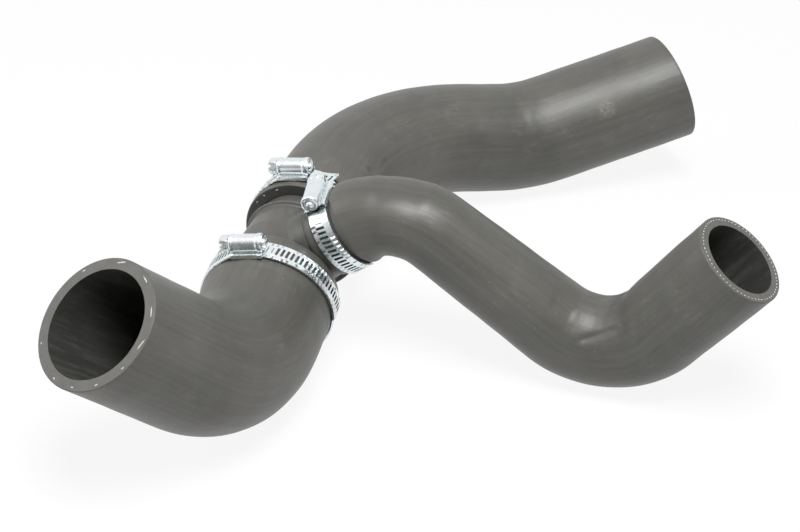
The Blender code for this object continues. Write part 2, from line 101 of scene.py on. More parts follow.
def set_surround():
    world = bpy.data.worlds.new("studio")
    bpy.context.scene.world = world
    world.use_nodes = True
    tree = world.node_tree
    background = tree.nodes["Background"]
    background.inputs["Color"].default_value = (1.0, 1.0, 1.0, 1.0)
    direction = tree.nodes.new("ShaderNodeTexCoord")
    parts = tree.nodes.new("ShaderNodeSeparateXYZ")
    tree.links.new(direction.outputs["Generated"], parts.inputs[0])
    shares = []
    for name, low, high in WHITE_SIDES:
        item = tree.nodes.new("ShaderNodeMapRange")
        item.inputs["From Min"].default_value = low
        item.inputs["From Max"].default_value = high
        item.inputs["To Min"].default_value = FRONT_STRENGTH
        tree.links.new(parts.outputs[name], item.inputs["Value"])
        shares.append(item.outputs["Result"])
    white = tree.nodes.new("ShaderNodeMath")
    white.operation = "MAXIMUM"
    for share, socket in zip(shares, white.inputs):
        tree.links.new(share, socket)
    mirrored = tree.nodes.new("ShaderNodeMapRange")
    mirrored.inputs["To Min"].default_value = SURROUND_STRENGTH
    tree.links.new(white.outputs[0], mirrored.inputs["To Max"])
    tree.links.new(rays_of(tree, "Is Glossy Ray", "Is Transmission Ray"), mirrored.inputs["Value"])
    strength = tree.nodes.new("ShaderNodeMath")
    strength.operation = "MAXIMUM"
    tree.links.new(mirrored.outputs["Result"], strength.inputs[0])
    tree.links.new(rays_of(tree, "Is Camera Ray"), strength.inputs[1])
    tree.links.new(strength.outputs[0], background.inputs["Strength"])


def add_floor():
    bpy.ops.mesh.primitive_plane_add(size=FLOOR_SIZE)
    floor = bpy.context.object
    floor.name = "floor"
    material = bpy.data.materials.new("pale board")
    material.use_nodes = True
    tree = material.node_tree
    shader = tree.nodes["Principled BSDF"]
    shader.inputs["Base Color"].default_value = (*FLOOR_COLOUR, 1.0)
    shader.inputs["Roughness"].default_value = FLOOR_ROUGHNESS
    glow = tree.nodes.new("ShaderNodeEmission")
    blend = tree.nodes.new("ShaderNodeMixShader")
    share = tree.nodes.new("ShaderNodeMapRange")
    share.inputs["To Min"].default_value = FLOOR_GLOW_FOR_LIGHT
    share.inputs["To Max"].default_value = FLOOR_GLOW_SHARE
    seen = rays_of(tree, "Is Camera Ray", "Is Glossy Ray", "Is Transmission Ray")
    tree.links.new(seen, share.inputs["Value"])
    tree.links.new(share.outputs["Result"], blend.inputs["Fac"])
    tree.links.new(shader.outputs[0], blend.inputs[1])
    tree.links.new(glow.outputs[0], blend.inputs[2])
    tree.links.new(blend.outputs[0], tree.nodes["Material Output"].inputs["Surface"])
    floor.data.materials.append(material)


def add_lamps():
    middle = (cad_low + cad_high) / 2
    for name, place, size, power in LAMPS:
        data = bpy.data.lights.new(name, "AREA")
        data.shape = "DISK"
        data.size = size
        data.energy = power
        lamp = bpy.data.objects.new(name, data)
        bpy.context.scene.collection.objects.link(lamp)
        lamp.location = place
        lamp.rotation_mode = "QUATERNION"
        lamp.rotation_quaternion = (middle - Vector(place)).to_track_quat("-Z", "Y")


def add_camera():
    back = CAMERA_BACK.normalized()
    right = Vector((1.0, 0.0, CAMERA_TILT))
    right = (right - back * right.dot(back)).normalized()
    data = bpy.data.cameras.new("camera")
    data.lens = CAMERA_LENS
    camera = bpy.data.objects.new("camera", data)
    bpy.context.scene.collection.objects.link(camera)
    camera.matrix_world = Matrix.Translation(CAMERA_PLACE) @ (
        Matrix((right, back.cross(right), back)).transposed().to_4x4()
    )
    bpy.context.scene.camera = camera


set_surround()
add_floor()
add_lamps()
add_camera()


# The elbow: the short wide hose at the front left, with one round bend. As all three hoses, it is one
# moulding of black rubber over a knitted yarn, cured on a bent steel core and cut off with a knife. Its
# clamp sits some way from its end, and the yarn shows in the cut mouth as a few loose white flecks.
TEE_CENTRE = Vector((-0.0625, -0.0193, 0.0377))
ELBOW_CORNERS = [Vector((-0.0812, -0.0984, 0.0253)), Vector((-0.1317, -0.1392, 0.0866))]
# Bend radii, distance of the hose's end from the tee's centre, radius at the tee, radius at the mouth, wall
ELBOW_SIZES = ([0.0600], 0.0158, 0.0300, 0.0289, 0.0050)
# The knife's plane at the mouth, which is some degrees out of square
ELBOW_CUT = Vector((-0.505, -0.421, 0.754))
ELBOW_CLAMP_MIDDLE = 0.0107
BAND_HALF_WIDTH = 0.0045
ELBOW_SCUFFS = [((-0.112, -0.160, 0.050), 0.004, 0.7)]
# Loose yarn in the cut: turn round the hose and length
ELBOW_YARN = (
    (0.62, 0.0013), (1.34, 0.0015), (1.76, 0.0013), (2.20, 0.0016), (2.69, 0.0014),
    (3.11, 0.0050), (3.64, 0.0046), (4.22, 0.0042), (4.84, 0.0040), (5.55, 0.0016),
)
LINE_SPACING = 0.0005
CUT_REACH = 0.012
MOUTH_OVERRUN = 0.0060
HOSE_SIDES = 160
HOSE_RING_STEP = 0.0012
BORE_RING_STEP = 0.0040
LIP_ROUNDING = 0.0004
LIP_STEPS = 3
END_DEPTHS = (0.95, 0.78, 0.62, 0.40, 0.20)
HOSE_SOFT_ANGLE = math.radians(50)
CALM_TEE_END = 0.020
CALM_MOUTH_END = 0.012
CALM_FADE = 0.012
UNEVENNESS = 0.00022
BAND_CONTACT_RISE = 0.00022
BAND_CONTACT_FADE = 0.0010
BESIDE_BAND_RISE = 0.00038
BESIDE_BAND_REACH = 0.0035
BESIDE_BAND_FADE = 0.0030
BULGE_RISE = 0.0030
BULGE_REACH = 0.016
BULGE_FALL = 0.013
CREASE_REACH = 3
CREASE_END_SHARE = 0.15


def arm_direction(corners):
    return (corners[0] - TEE_CENTRE).normalized()


def centreline(corners, bend_radii):
    """Points close together along straight runs that are joined by round bends."""
    stretches = []
    last = corners[0]
    for before, corner, after, radius in zip(corners, corners[1:], corners[2:], bend_radii):
        inward = (corner - before).normalized()
        outward = (after - corner).normalized()
        angle = inward.angle(outward)
        begin = corner - inward * radius * math.tan(angle / 2)
        side = (outward - inward * math.cos(angle)).normalized()
        centre = begin + side * radius
        steps = max(1, round((begin - last).length / LINE_SPACING))
        stretches += [last.lerp(begin, step / steps) for step in range(steps)]
        steps = max(2, round(angle * radius / LINE_SPACING))
        for step in range(steps):
            turn = angle * step / steps
            stretches.append(centre + (inward * math.sin(turn) - side * math.cos(turn)) * radius)
        last = centre + (inward * math.sin(angle) - side * math.cos(angle)) * radius
    steps = max(1, round((corners[-1] - last).length / LINE_SPACING))
    stretches += [last.lerp(corners[-1], step / steps) for step in range(steps + 1)]
    return np.array([list(point) for point in stretches])


class Route:
    """A hose's centreline by distance, with a frame that doesn't twist."""

    def __init__(self, corners, sizes, cut):
        bend_radii, start, *_ = sizes
        self.cut = np.array(cut.normalized())
        first = TEE_CENTRE + arm_direction(corners) * start
        self.points = centreline([first, *corners], bend_radii)
        steps = np.linalg.norm(np.diff(self.points, axis=0), axis=1)
        self.gone = np.concatenate([[0.0], np.cumsum(steps)])
        self.length = self.gone[-1]
        tangents = np.gradient(self.points, self.gone, axis=0)
        self.tangents = tangents / np.linalg.norm(tangents, axis=1)[:, None]
        normal = np.cross(self.tangents[0], (0.0, 0.0, 1.0))
        normals = []
        for tangent in self.tangents:
            normal = normal - tangent * normal.dot(tangent)
            normal = normal / np.linalg.norm(normal)
            normals.append(normal)
        self.normals = np.array(normals)
        self.bends = np.gradient(self.tangents, self.gone, axis=0)

    def at(self, distance, table):
        return np.array([np.interp(distance, self.gone, table[:, axis]) for axis in range(3)])

    def frame(self, distance):
        """Centre, tangent and the two directions across the hose."""
        tangent = self.at(distance, self.tangents)
        normal = self.at(distance, self.normals)
        return self.at(distance, self.points), tangent, normal, np.cross(tangent, normal)

    def lean(self, distance, tangent, offset):
        """How far a point near the mouth moves along the hose, to put the last ring in the knife's plane."""
        share = ease(1 - (self.length - distance) / CUT_REACH)
        return -share * offset.dot(self.cut) / tangent.dot(self.cut)


def ease(share):
    share = min(1.0, max(0.0, share))
    return share * share * (3 - 2 * share)


def bump_between(distance, low, high, edge):
    """A smooth hump that is 1 between low and high and fades over the edge's length."""
    return ease((distance - low + edge) / edge) * ease((high + edge - distance) / edge)


def waviness(distance, turn, seed):
    """Slow unevenness of the cured wall, from -1 to 1."""
    waves = ((21.0, 1, 0.35), (47.0, 2, 0.25), (83.0, 3, 0.2), (131.0, 1, 0.2))
    total = 0.0
    for number, (pitch, lobes, share) in enumerate(waves):
        total += share * math.sin(pitch * distance * math.pi + seed * (number + 1.7)) * math.cos(
            lobes * turn + seed * (2.3 + number)
        )
    return total


def off_line(point, first, last):
    """Distance of a point from a straight line between two others, and its share of the way along it."""
    line = last - first
    share = min(1.0, max(0.0, (point - first).dot(line) / line.dot(line)))
    return np.linalg.norm(point - first - line * share), share


def hose_rings(route, sizes, squeeze, creases, seed):
    """Rings of points round the hose, from the tee's end over the outside to the mouth and back in the bore.

    squeeze is the clamp's place as (middle, half width, bulge beyond it), and creases lists furrows in the
    outside as (first point, last point, half width, depth)."""
    _, _, end_radius, mouth_radius, wall = sizes
    length = route.length
    outer_count = round(length / HOSE_RING_STEP)
    bore_count = round(length / BORE_RING_STEP)
    lips = [math.pi / 2 * step / LIP_STEPS for step in range(LIP_STEPS + 1)]
    tee_end = [("end", 0.0, wall * share) for share in END_DEPTHS]
    tee_lip = [
        ("lip", LIP_ROUNDING * (1 - math.cos(angle)), LIP_ROUNDING * (1 - math.sin(angle))) for angle in lips
    ]
    outer = [
        ("outer", LIP_ROUNDING + (length - 2 * LIP_ROUNDING) * step / outer_count, 0.0)
        for step in range(1, outer_count)
    ]
    mouth_lip = [("lip", length - along, depth) for _, along, depth in reversed(tee_lip)]
    mouth_end = [("cut", length, depth) for _, _, depth in reversed(tee_end)]
    bore = [("bore", length * (1 - step / bore_count), wall) for step in range(bore_count + 1)]
    rings = tee_end + tee_lip + outer + mouth_lip + mouth_end + bore
    places, unrolled, kinds = [], [], []
    turns = [2 * math.pi * side / HOSE_SIDES for side in range(HOSE_SIDES)]
    for kind, along, depth in rings:
        centre, tangent, across, up = route.frame(along)
        radius = end_radius + (mouth_radius - end_radius) * ease(along / (length + MOUTH_OVERRUN))
        middle, half, bulge = squeeze
        wide = half + BESIDE_BAND_REACH
        pressed = bump_between(along, middle - half, middle + half, BAND_CONTACT_FADE)
        swell = bump_between(along, middle - wide, middle + wide, BESIDE_BAND_FADE) - pressed
        past = along - middle - half
        for turn in turns:
            direction = across * math.cos(turn) + up * math.sin(turn)
            reach = radius
            if kind in ("outer", "lip"):
                calm = bump_between(along, CALM_TEE_END, length - CALM_MOUTH_END, CALM_FADE)
                reach += UNEVENNESS * waviness(along, turn, seed) * calm
                reach += BAND_CONTACT_RISE * pressed + BESIDE_BAND_RISE * max(0.0, swell)
                reach += bulge * ease(past / BULGE_RISE) * ease((BULGE_REACH - past) / BULGE_FALL)
                point = centre + direction * radius
                for first, last, half_width, furrow in creases:
                    away, share = off_line(point, first, last)
                    if away < CREASE_REACH * half_width:
                        taper = ease(4 * share) * ease(4 * (1 - share))
                        taper = CREASE_END_SHARE + (1 - CREASE_END_SHARE) * taper
                        reach -= furrow * taper * math.exp(-(away / half_width) ** 2)
            reach -= depth
            offset = direction * reach
            places.append(centre + offset + tangent * route.lean(along, tangent, offset))
            unrolled.append((radius * math.cos(turn), radius * math.sin(turn), along))
        kinds.append(kind)
    return np.array(places), np.array(unrolled), kinds


def hose_object(name, route, sizes, squeeze, creases, seed, materials):
    places, unrolled, kinds = hose_rings(route, sizes, squeeze, creases, seed)
    count = len(kinds)
    faces, slots = [], []
    for ring in range(count):
        after = (ring + 1) % count
        pair = {kinds[ring], kinds[after]}
        # slot 3, the cut at the tee's end, takes the painted shade material
        slot = 2 if pair == {"bore"} else 1 if "cut" in pair else 3 if "end" in pair else 0
        for side in range(HOSE_SIDES):
            other = (side + 1) % HOSE_SIDES
            faces.append((
                ring * HOSE_SIDES + side, ring * HOSE_SIDES + other,
                after * HOSE_SIDES + other, after * HOSE_SIDES + side,
            ))
            slots.append(slot)
    mesh = bpy.data.meshes.new(name)
    mesh.from_pydata([tuple(place) for place in places], [], faces)
    mesh.polygons.foreach_set("material_index", slots)
    coordinates = mesh.attributes.new("unrolled", "FLOAT_VECTOR", "POINT")
    coordinates.data.foreach_set("vector", unrolled.astype(np.float32).ravel())
    mesh.shade_smooth()
    mesh.set_sharp_from_angle(angle=HOSE_SOFT_ANGLE)
    item = bpy.data.objects.new(name, mesh)
    bpy.context.scene.collection.objects.link(item)
    work = bmesh.new()
    work.from_mesh(mesh)
    bmesh.ops.recalc_face_normals(work, faces=work.faces)
    work.to_mesh(mesh)
    work.free()
    for material in materials:
        mesh.materials.append(material)
    return item


def new_material(name):
    material = bpy.data.materials.new(name)
    material.use_nodes = True
    return material, material.node_tree, material.node_tree.nodes["Principled BSDF"]


def named_coordinates(tree, name):
    source = tree.nodes.new("ShaderNodeAttribute")
    source.attribute_name = name
    return source.outputs["Vector"]


def object_coordinates(tree):
    return tree.nodes.new("ShaderNodeTexCoord").outputs["Object"]


def noise_in(tree, coordinates, scale, detail=3.0, roughness=0.55, stretch=(1.0, 1.0, 1.0)):
    """Noise with its scale in waves to the metre, stretched along an axis by a share below 1."""
    mapping = tree.nodes.new("ShaderNodeMapping")
    mapping.inputs["Scale"].default_value = stretch
    tree.links.new(coordinates, mapping.inputs["Vector"])
    texture = tree.nodes.new("ShaderNodeTexNoise")
    texture.inputs["Scale"].default_value = scale
    texture.inputs["Detail"].default_value = detail
    texture.inputs["Roughness"].default_value = roughness
    tree.links.new(mapping.outputs[0], texture.inputs["Vector"])
    return texture.outputs["Fac"]


def span(tree, value, low, high, to_low=0.0, to_high=1.0):
    """Maps low to high onto another range, clamped."""
    item = tree.nodes.new("ShaderNodeMapRange")
    for name, number in zip(("From Min", "From Max", "To Min", "To Max"), (low, high, to_low, to_high)):
        item.inputs[name].default_value = number
    tree.links.new(value, item.inputs["Value"])
    return item.outputs["Result"]


def combine(tree, operation, first, second):
    item = tree.nodes.new("ShaderNodeMath")
    item.operation = operation
    for socket, value in zip(item.inputs, (first, second)):
        if isinstance(value, (int, float)):
            socket.default_value = value
        else:
            tree.links.new(value, socket)
    return item.outputs[0]


def blend_colours(tree, share, first, second):
    item = tree.nodes.new("ShaderNodeMix")
    item.data_type = "RGBA"
    tree.links.new(share, item.inputs[0])
    for socket, colour in ((item.inputs[6], first), (item.inputs[7], second)):
        if isinstance(colour, tuple):
            socket.default_value = (*colour, 1.0)
        else:
            tree.links.new(colour, socket)
    return item.outputs[2]


def add_bump(tree, shader, heights):
    """Chains bumps, given as (height, depth in metres), into the shader's normal."""
    normal = None
    for height, depth in heights:
        item = tree.nodes.new("ShaderNodeBump")
        item.inputs["Distance"].default_value = depth
        tree.links.new(height, item.inputs["Height"])
        if normal is not None:
            tree.links.new(normal, item.inputs["Normal"])
        normal = item.outputs[0]
    tree.links.new(normal, shader.inputs["Normal"])


def spot(tree, coordinates, place, radius):
    """1 at a point on the hose, fading to 0 at the radius."""
    item = tree.nodes.new("ShaderNodeVectorMath")
    item.operation = "DISTANCE"
    item.inputs[1].default_value = place
    tree.links.new(coordinates, item.inputs[0])
    return span(tree, item.outputs["Value"], radius * 0.35, radius, 1.0, 0.0)


RUBBER_DARK = (0.062, 0.061, 0.054)
RUBBER_PALE = (0.108, 0.106, 0.095)
RUBBER_DUST = (0.235, 0.230, 0.205)
CUT_RUBBER = (0.128, 0.126, 0.115)
# Painted shade: the near-black colour of the cut faces at the hoses' tee ends
PAINTED_SHADE_CUT_RUBBER = (0.040, 0.039, 0.035)
CUT_SHADE = 0.72
BORE_RUBBER = (0.032, 0.032, 0.029)
BORE_DUST = (0.080, 0.079, 0.072)


def outer_rubber(name, scuffs):
    """Dull moulded rubber: slow changes of tone, streaks along the hose, grain, dust and a few scuffs."""
    material, tree, shader = new_material(name)
    unrolled = named_coordinates(tree, "unrolled")
    place = object_coordinates(tree)
    cloud = noise_in(tree, unrolled, 26.0, 4.0)
    streaks = noise_in(tree, unrolled, 520.0, 3.0, 0.6, stretch=(1.0, 1.0, 0.035))
    fine = noise_in(tree, unrolled, 2600.0, 2.0)
    tone = combine(
        tree, "ADD", span(tree, cloud, 0.32, 0.68, 0.0, 0.62), span(tree, streaks, 0.35, 0.7, 0.0, 0.38),
    )
    colour = blend_colours(tree, tone, RUBBER_DARK, RUBBER_PALE)
    film = combine(
        tree, "MULTIPLY",
        span(tree, noise_in(tree, unrolled, 60.0, 5.0, 0.7), 0.50, 0.78),
        span(tree, noise_in(tree, unrolled, 700.0, 3.0, 0.6, stretch=(1.0, 1.0, 0.15)), 0.42, 0.66),
    )
    specks = span(tree, noise_in(tree, unrolled, 900.0, 1.0), 0.735, 0.80, 0.0, 0.55)
    dust = combine(tree, "MAXIMUM", combine(tree, "MULTIPLY", film, 0.34), specks)
    for centre, radius, strength in scuffs:
        ragged = span(tree, noise_in(tree, place, 900.0, 4.0, 0.7), 0.40, 0.62, 0.0, strength)
        mark = combine(tree, "MULTIPLY", spot(tree, place, centre, radius), ragged)
        dust = combine(tree, "MAXIMUM", dust, mark)
    colour = blend_colours(tree, dust, colour, RUBBER_DUST)
    tree.links.new(colour, shader.inputs["Base Color"])
    shine = combine(
        tree, "ADD", span(tree, cloud, 0.3, 0.7, 0.38, 0.47), span(tree, fine, 0.3, 0.7, -0.03, 0.05),
    )
    shine = combine(tree, "ADD", shine, combine(tree, "MULTIPLY", dust, 0.25))
    tree.links.new(shine, shader.inputs["Roughness"])
    shader.inputs["Specular IOR Level"].default_value = 0.5
    add_bump(tree, shader, [(cloud, 0.0009), (streaks, 0.00010), (fine, 0.00005)])
    return material


def cut_rubber(name, colour):
    """A knife's cut across the wall: grained, and without the skin's gloss."""
    material, tree, shader = new_material(name)
    place = object_coordinates(tree)
    grain = noise_in(tree, place, 1500.0, 4.0, 0.7)
    patches = noise_in(tree, place, 220.0, 3.0)
    share = combine(
        tree, "ADD", span(tree, grain, 0.3, 0.7, 0.0, 0.5), span(tree, patches, 0.35, 0.65, 0.0, 0.5),
    )
    darker = tuple(value * CUT_SHADE for value in colour)
    tree.links.new(blend_colours(tree, share, darker, colour), shader.inputs["Base Color"])
    tree.links.new(span(tree, grain, 0.3, 0.7, 0.55, 0.75), shader.inputs["Roughness"])
    add_bump(tree, shader, [(grain, 0.00012), (patches, 0.00020)])
    return material


def bore_rubber(name):
    """The inside of the hose: black and smoother, with dusty streaks along it."""
    material, tree, shader = new_material(name)
    unrolled = named_coordinates(tree, "unrolled")
    streaks = noise_in(tree, unrolled, 260.0, 4.0, 0.65, stretch=(1.0, 1.0, 0.12))
    clouds = noise_in(tree, unrolled, 55.0, 4.0)
    dust = combine(tree, "MULTIPLY", span(tree, streaks, 0.47, 0.72), span(tree, clouds, 0.38, 0.66))
    tree.links.new(blend_colours(tree, dust, BORE_RUBBER, BORE_DUST), shader.inputs["Base Color"])
    tree.links.new(span(tree, streaks, 0.3, 0.7, 0.50, 0.72), shader.inputs["Roughness"])
    add_bump(tree, shader, [(clouds, 0.0006), (streaks, 0.00012)])
    return material


YARN_GREYED = (0.36, 0.35, 0.32)
YARN_PALE = (0.78, 0.77, 0.73)
YARN_PROUD = 0.00010
YARN_DEPTH_SHARE = 0.36
YARN_LEAN = 0.25
YARN_RAGGEDNESS = 0.22


def yarn_cloth(name):
    """The cut ends of the yarn: off-white threads, greyed here and there by rubber."""
    material, tree, shader = new_material(name)
    place = object_coordinates(tree)
    fibres = noise_in(tree, place, 2600.0, 3.0, 0.7)
    share = span(tree, fibres, 0.35, 0.62)
    tree.links.new(blend_colours(tree, share, YARN_GREYED, YARN_PALE), shader.inputs["Base Color"])
    tree.links.new(span(tree, fibres, 0.3, 0.7, 0.75, 0.95), shader.inputs["Roughness"])
    add_bump(tree, shader, [(fibres, 0.00015)])
    return material


def yarn_ends(name, route, sizes, at_mouth, ends, seed):
    """Cut yarn ends in the wall's face: a small frayed tuft for each (turn, length, width, depth share)."""
    wall = sizes[4]
    radius = sizes[3] if at_mouth else sizes[2]
    along = route.length if at_mouth else 0.0
    centre, tangent, across, up = route.frame(along)
    outward = route.cut if at_mouth else -tangent
    draw = random.Random(seed)
    work = bmesh.new()
    for turn, length, width, share in ends:
        reach = radius - wall * share
        direction = across * math.cos(turn) + up * math.sin(turn)
        sideways = np.cross(outward, direction)
        offset = direction * reach
        middle = centre + offset + tangent * route.lean(along, tangent, offset)
        middle = middle + outward * YARN_PROUD * 0.3
        direction = direction - outward * direction.dot(outward)
        direction = direction / np.linalg.norm(direction)
        lean = draw.uniform(-YARN_LEAN, YARN_LEAN)
        basis = Matrix((Vector(sideways), Vector(direction), Vector(outward))).transposed().to_4x4()
        size = Matrix.Diagonal((length / 2, width / 2, YARN_PROUD * draw.uniform(0.9, 1.8), 1.0))
        place = Matrix.Translation(Vector(middle)) @ basis @ Matrix.Rotation(lean, 4, "Z") @ size
        made = bmesh.ops.create_icosphere(work, subdivisions=2, radius=1.0, matrix=place)
        for vertex in made["verts"]:
            wave = math.sin(vertex.co.x * 9000 + vertex.co.z * 7000 + turn * 5)
            ragged = 1.0 + YARN_RAGGEDNESS * wave
            vertex.co = Vector(middle) + (vertex.co - Vector(middle)) * ragged
    mesh = bpy.data.meshes.new(name)
    work.to_mesh(mesh)
    work.free()
    mesh.shade_smooth()
    item = bpy.data.objects.new(name, mesh)
    bpy.context.scene.collection.objects.link(item)
    return item


CUT_FACE = cut_rubber("cut rubber", CUT_RUBBER)
# Painted shade on the cut faces at the hoses' tee ends
PAINTED_SHADE_CUT = cut_rubber("tucked end", PAINTED_SHADE_CUT_RUBBER)
BORE = bore_rubber("bore rubber")
YARN = yarn_cloth("knitted yarn")


def add_hose(node, route, sizes, squeeze, creases, scuffs, seed):
    skin = outer_rubber(node + " rubber", scuffs)
    creases = [(np.array(begin), np.array(end), width, depth) for begin, end, width, depth in creases]
    rubbers = [skin, CUT_FACE, BORE, PAINTED_SHADE_CUT]
    item = hose_object(node + "_moulding", route, sizes, squeeze, creases, seed, rubbers)
    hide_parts(node)
    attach(item, "root")


def add_yarn(name, route, sizes, at_mouth, ends, seed):
    item = yarn_ends(name, route, sizes, at_mouth, ends, seed)
    item.data.materials.append(YARN)
    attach(item, "root")


ELBOW_ROUTE = Route(ELBOW_CORNERS, ELBOW_SIZES, ELBOW_CUT)
add_hose(
    "hose_a_elbow", ELBOW_ROUTE, ELBOW_SIZES, (ELBOW_CLAMP_MIDDLE, BAND_HALF_WIDTH, 0.0), [],
    ELBOW_SCUFFS, seed=1.3,
)
add_yarn(
    "elbow_mouth_yarn", ELBOW_ROUTE, ELBOW_SIZES, True,
    [(turn, length, 0.0006, YARN_DEPTH_SHARE) for turn, length in ELBOW_YARN],
    seed=5,
)


# The long hose: the wide one at the back, with two gentle bends, pushed up close to the tee's stop collar.
# Its cut end shows beside the collar with a few flecks of yarn, and is darkened with painted shade. Its far
# mouth is cut at a slant.
LONG_CORNERS = [
    Vector((-0.0253, 0.0917, 0.0394)), Vector((0.0563, 0.1192, 0.0264)), Vector((0.1339, 0.1383, 0.0487)),
]
LONG_SIZES = ([0.1030, 0.0742], 0.0216, 0.0281, 0.0280, 0.0048)
LONG_CUT = Vector((0.903, 0.336, 0.268))
LONG_ROUTE = Route(LONG_CORNERS, LONG_SIZES, LONG_CUT)
LONG_CLAMP_MIDDLE = 0.0088
# Creases near the clamp: first point, last point, half width, depth
LONG_CREASES = [
    ((-0.0225, 0.0290, 0.0560), (-0.0240, 0.0440, 0.0610), 0.0013, 0.00045),
    ((-0.0215, 0.0300, 0.0550), (-0.0200, 0.0470, 0.0595), 0.0011, 0.00035),
    ((-0.0250, 0.0290, 0.0570), (-0.0275, 0.0420, 0.0630), 0.0012, 0.00025),
    ((-0.0200, 0.0330, 0.0540), (-0.0143, 0.0488, 0.0560), 0.0012, 0.00030),
    ((-0.0180, 0.0400, 0.0550), (-0.0044, 0.0621, 0.0535), 0.0014, 0.00030),
    ((-0.0225, 0.0300, 0.0555), (-0.0225, 0.0340, 0.0570), 0.0040, 0.00080),
]
LONG_SCUFFS = [((0.0970, 0.1056, 0.0527), 0.006, 0.8)]
LONG_END_YARN_TURNS = (0.9, 2.1, 3.72, 3.94, 4.24, 5.3)
LONG_STITCHES = 30
add_hose(
    "hose_b_long", LONG_ROUTE, LONG_SIZES, (LONG_CLAMP_MIDDLE, BAND_HALF_WIDTH, 0.0),
    LONG_CREASES, LONG_SCUFFS, seed=2.6,
)
add_yarn(
    "long_end_yarn", LONG_ROUTE, LONG_SIZES, False,
    [(turn, 0.0014, 0.0004, 0.30) for turn in LONG_END_YARN_TURNS],
    seed=8,
)
add_yarn(
    "long_mouth_yarn", LONG_ROUTE, LONG_SIZES, True,
    [
        (2 * math.pi * number / LONG_STITCHES, 0.0012, 0.0005, YARN_DEPTH_SHARE)
        for number in range(LONG_STITCHES)
    ],
    seed=9,
)


# The branch hose: the narrow one that rises from the tee, dips to the bench and rises to its mouth, where
# it is wider. The knit shows in its mouth as a ring of small regular stitches.
BRANCH_CORNERS = [
    Vector((-0.0113, -0.0312, 0.0796)), Vector((0.0893, -0.0549, 0.0075)), Vector((0.1366, -0.0733, 0.0801)),
]
BRANCH_SIZES = ([0.0315, 0.0349], 0.0264, 0.0181, 0.0223, 0.0046)
BRANCH_CUT = BRANCH_CORNERS[2] - BRANCH_CORNERS[1]
BRANCH_ROUTE = Route(BRANCH_CORNERS, BRANCH_SIZES, BRANCH_CUT)
BRANCH_CLAMP_MIDDLE = 0.0106
BRANCH_BAND_HALF_WIDTH = 0.0050
BRANCH_SWELL = 0.0013
# Folds in the dip, and last the crest, which is pulled flat: first point, last point, half width, depth
BRANCH_CREASES = [
    ((0.0690, -0.0690, 0.0305), (0.0890, -0.0705, 0.0410), 0.0016, 0.00085),
    ((0.0568, -0.0596, 0.0471), (0.0695, -0.0622, 0.0395), 0.0030, 0.00060),
    ((0.0861, -0.0551, 0.0435), (0.0815, -0.0640, 0.0400), 0.0018, 0.00050),
    ((0.0850, -0.0480, 0.0430), (0.0858, -0.0560, 0.0430), 0.0075, 0.00180),
    ((-0.0240, -0.0290, 0.0880), (0.0040, -0.0365, 0.0875), 0.0110, 0.00210),
]
BRANCH_STITCHES = 64
add_hose(
    "hose_c_branch", BRANCH_ROUTE, BRANCH_SIZES,
    (BRANCH_CLAMP_MIDDLE, BRANCH_BAND_HALF_WIDTH, BRANCH_SWELL), BRANCH_CREASES, [], seed=4.1,
)
add_yarn(
    "branch_mouth_yarn", BRANCH_ROUTE, BRANCH_SIZES, True,
    [
        (2 * math.pi * number / BRANCH_STITCHES, 0.0009, 0.0006, YARN_DEPTH_SHARE)
        for number in range(BRANCH_STITCHES)
    ],
    seed=3,
)


# The tee: one moulding of black plastic. Its run has a stop collar beside the long hose, its branch stands
# on a boss, and a fine seam goes round it where the two halves of the mould met.
TEE_BODY_RADIUS = 0.0233
TEE_WALL = 0.0030
TEE_TAPER = 0.002
SPIGOT_CHAMFER = 0.0010
COLLAR_CHAMFER = 0.0003
COLLAR_START = 0.0140
COLLAR_END = 0.0159
COLLAR_RADIUS = 0.0251
BOSS_RADIUS = 0.0174
ELBOW_SPIGOT_END = 0.0438
LONG_SPIGOT_END = 0.0506
BRANCH_SPIGOT_END = 0.0400
SPIGOT_GAP = 0.0003
TEE_SIDES = 96
TEE_VOXEL = 0.00055
SEAM_HEIGHT = 0.00022
SEAM_WIDTH = 0.0005
PLASTIC_DARK = (0.060, 0.059, 0.054)
PLASTIC_PALE = (0.098, 0.096, 0.088)


def bar_along(name, stops):
    """A closed round bar through (place, radius) stops."""
    work = bmesh.new()
    rings = []
    along = (stops[-1][0] - stops[0][0]).normalized()
    across = along.orthogonal().normalized()
    up = along.cross(across)
    for place, radius in stops:
        ring = []
        for side in range(TEE_SIDES):
            turn = 2 * math.pi * side / TEE_SIDES
            ring.append(work.verts.new(place + (across * math.cos(turn) + up * math.sin(turn)) * radius))
        rings.append(ring)
    for before, after in zip(rings, rings[1:]):
        for side in range(TEE_SIDES):
            other = (side + 1) % TEE_SIDES
            work.faces.new((before[side], before[other], after[other], after[side]))
    work.faces.new(list(reversed(rings[0])))
    work.faces.new(rings[-1])
    bmesh.ops.recalc_face_normals(work, faces=work.faces)
    mesh = bpy.data.meshes.new(name)
    work.to_mesh(mesh)
    work.free()
    item = bpy.data.objects.new(name, mesh)
    bpy.context.scene.collection.objects.link(item)
    return item


def spigot_radius(sizes):
    return sizes[2] - sizes[4] - SPIGOT_GAP


def run_stops(profile):
    """Stops along the tee's run, whose two arms meet at a slight angle."""
    toward_elbow = arm_direction(ELBOW_CORNERS)
    toward_long = arm_direction(LONG_CORNERS)
    stops = []
    for along, radius in profile:
        direction = toward_long if along > 0 else -toward_elbow
        stops.append((TEE_CENTRE + direction * along, radius))
    return stops


def plain_mesh(item):
    """The object's mesh with its modifiers applied."""
    graph = bpy.context.evaluated_depsgraph_get()
    return bpy.data.meshes.new_from_object(item.evaluated_get(graph))


def joined(base, others):
    """Applies the Boolean of each (object, operation) to the base and removes the others."""
    for other, operation in others:
        step = base.modifiers.new(other.name, "BOOLEAN")
        step.operation = operation
        step.object = other
    base.data = plain_mesh(base)
    base.modifiers.clear()
    for other, _ in others:
        bpy.data.objects.remove(other, do_unlink=True)
    return base


